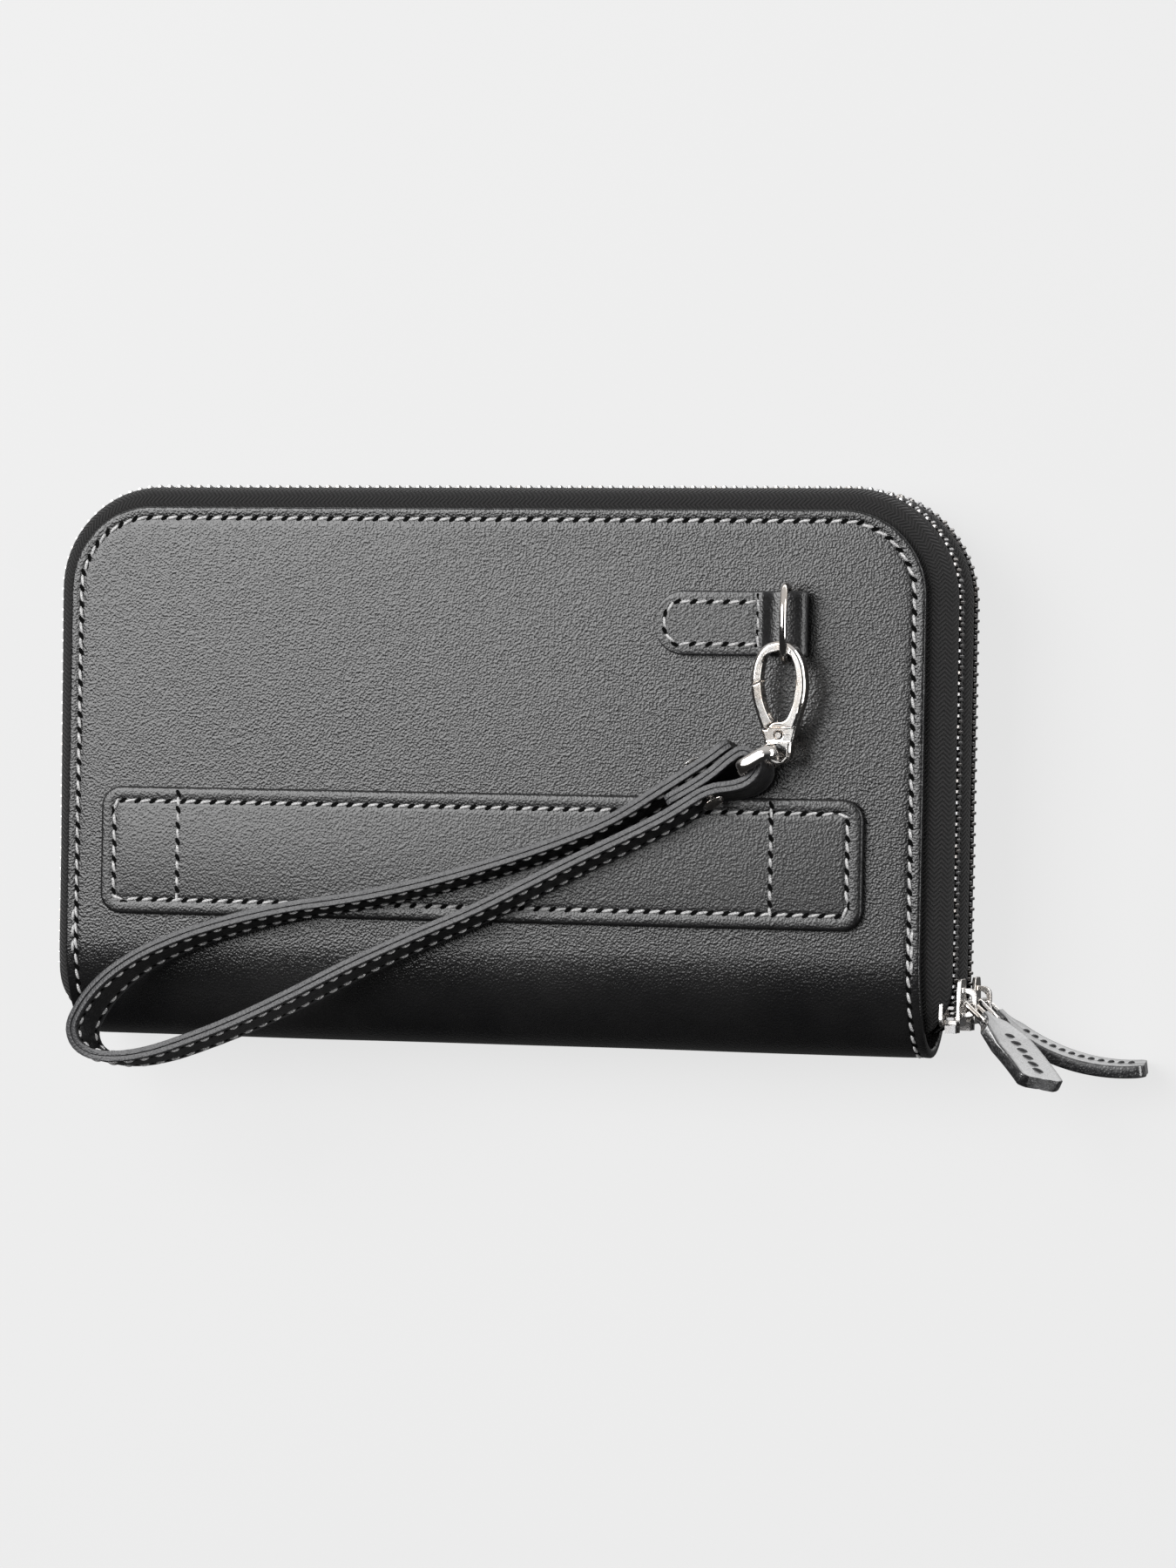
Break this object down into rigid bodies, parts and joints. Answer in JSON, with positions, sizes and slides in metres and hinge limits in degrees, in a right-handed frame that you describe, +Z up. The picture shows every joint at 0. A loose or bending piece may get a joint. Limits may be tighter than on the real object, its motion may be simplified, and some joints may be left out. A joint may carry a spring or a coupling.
{
  "type": "wristlet wallet",
  "caption": "Leather wristlet wallet with a double zip-round body, hand strap, D-ring, snap hook and a rivet-ended wrist strap",
  "frame": {"origin": "centre of the front cover's outer face, on the surface the wallet lies on", "axes": "+Z up through the closed wallet to the back cover with the hand strap, +Y from the fold to the long zip side, +X along the wallet to the end with the zip sliders"},
  "size_m": [0.2638, 0.1403, 0.0488],
  "materials": {
    "leather": "smooth leather with a fine pebble grain, semi-gloss",
    "lining": "plain woven lining, matt",
    "metal": "polished nickel plate",
    "tape": "herringbone woven zip tape, matt",
    "teeth": "bright nickel plate"
  },
  "bodies": {
    "front_cover": {"cover_front": "leather", "lining_front": "lining", "bill_pocket": "lining", "tape_front": "tape", "teeth_front": "teeth", "stop_right_front": "teeth", "stop_left_front": "teeth"},
    "divider": {"divider_panel": "lining", "card_pocket_left_1": "lining", "card_pocket_left_2": "lining", "card_pocket_left_3": "lining", "card_pocket_right_1": "lining", "card_pocket_right_2": "lining", "card_pocket_right_3": "lining", "coin_pocket": "lining", "tape_divider_upper": "tape", "tape_divider_lower": "tape", "teeth_divider_upper": "teeth", "stop_right_divider_upper": "teeth", "stop_left_divider_upper": "teeth", "teeth_divider_lower": "teeth", "stop_right_divider_lower": "teeth", "stop_left_divider_lower": "teeth"},
    "back_cover": {"cover_back": "leather", "lining_back": "lining", "tape_back": "tape", "teeth_back": "teeth", "stop_right_back": "teeth", "stop_left_back": "teeth", "hand_strap_lining": "leather", "hand_strap": "leather", "d_ring_tab": "leather"},
    "slider_upper": {"slider_upper": "metal"},
    "slider_lower": {"slider_lower": "metal"},
    "pull_upper": {"pull_ring_upper": "metal", "pull_leather_upper": "leather"},
    "pull_lower": {"pull_ring_lower": "metal", "pull_leather_lower": "leather"},
    "d_ring": {"d_ring": "metal"},
    "hook": {"hook_body": "metal", "gate_pin": "metal", "gate_spring": "metal"},
    "gate": {"hook_gate": "metal"},
    "wrist_strap": {"strap_ring": "metal", "strap_outer_ply": "leather", "strap_inner_ply": "leather", "strap_rivet": "metal"}
  },
  "joints": [
    {"name": "divider_open", "type": "hinge", "parent": "front_cover", "child": "divider", "pos_m": [0, -0.0635, 0.0165], "axis": [1, 0, 0], "range_deg": [0, 50]},
    {"name": "back_open", "type": "hinge", "parent": "divider", "child": "back_cover", "pos_m": [0, -0.0635, 0.0165], "axis": [1, 0, 0], "range_deg": [0, 50]},
    {"name": "slide_upper", "type": "slide", "parent": "divider", "child": "slider_upper", "axis": [0, 1, 0], "range_m": [0, 0.075]},
    {"name": "slide_lower", "type": "slide", "parent": "divider", "child": "slider_lower", "axis": [0, 1, 0], "range_m": [0, 0.075]},
    {"name": "pull_upper_swing", "type": "hinge", "parent": "slider_upper", "child": "pull_upper", "pos_m": [0.1149, -0.05, 0.0247], "axis": [0, 0, 1], "range_deg": [-10, 100]},
    {"name": "pull_lower_swing", "type": "hinge", "parent": "slider_lower", "child": "pull_lower", "pos_m": [0.1149, -0.05, 0.0083], "axis": [0, 0, 1], "range_deg": [-10, 100]},
    {"name": "d_ring_tilt", "type": "hinge", "parent": "back_cover", "child": "d_ring", "pos_m": [0.073, 0.0368, 0.0361], "axis": [0, 1, 0], "range_deg": [0, 8]},
    {"name": "hook_swing", "type": "hinge", "parent": "d_ring", "child": "hook", "pos_m": [0.0741, 0.0288, 0.0417], "axis": [0, 0, 1], "range_deg": [-8, 10]},
    {"name": "gate_open", "type": "hinge", "parent": "hook", "child": "gate", "pos_m": [0.0728, 0.01119, 0.04028], "axis": [0, 0.0698, -0.9976], "range_deg": [0, 20], "stiffness_Nm_per_rad": 0.02},
    {"name": "strap_swing", "type": "hinge", "parent": "hook", "child": "wrist_strap", "pos_m": [0.0728, 0.0072, 0.04], "axis": [0, 0, 1], "range_deg": [-20, 12]}
  ]
}
